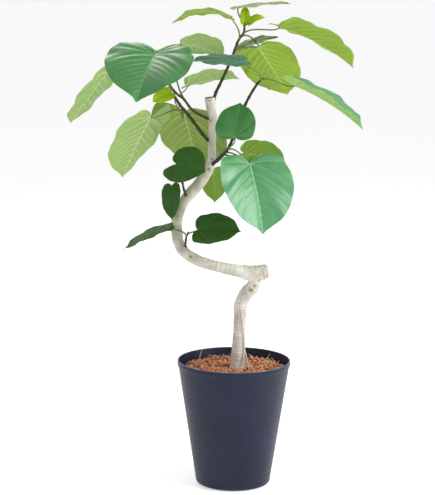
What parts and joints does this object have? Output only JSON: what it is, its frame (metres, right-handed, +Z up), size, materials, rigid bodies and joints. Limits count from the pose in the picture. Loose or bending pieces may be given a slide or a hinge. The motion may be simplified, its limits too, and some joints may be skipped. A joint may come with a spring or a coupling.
{
  "type": "potted ficus umbellata",
  "caption": "Potted indoor fig tree with a pale spiral-trained trunk, slim branches and large heart-shaped leaves in a dark tapered nursery pot.",
  "frame": {"origin": "centre of the pot's flat underside", "axes": "+Z up, +X to the right of the front view, -Y towards the viewer"},
  "size_m": [0.6181, 0.466, 1.0212],
  "materials": {
    "pot_plastic": "dark blue-black moulded nursery pot, satin",
    "soil_husk": "loose coconut husk chips over soil",
    "bark": "pale cream bark with fine ring scars",
    "green_stem": "young brown-green bark, smooth",
    "foliage": "green leaf blades, satin, with paler veins"
  },
  "bodies": {
    "root": {"pot": "pot_plastic", "soil": "soil_husk", "trunk_foot": "bark", "trunk_arm": "bark", "trunk_bend": "bark", "trunk_rise": "bark", "trunk_top": "bark", "leader_bough": "green_stem", "right_bough": "green_stem", "left_upper_bough": "green_stem", "left_lower_bough": "green_stem", "leader_leaves": "foliage", "right_leaves": "foliage", "left_upper_leaves": "foliage", "left_lower_leaves": "foliage", "back_low_leaves": "foliage", "low_leaves": "foliage", "lowest_leaves": "foliage"}
  },
  "joints": []
}
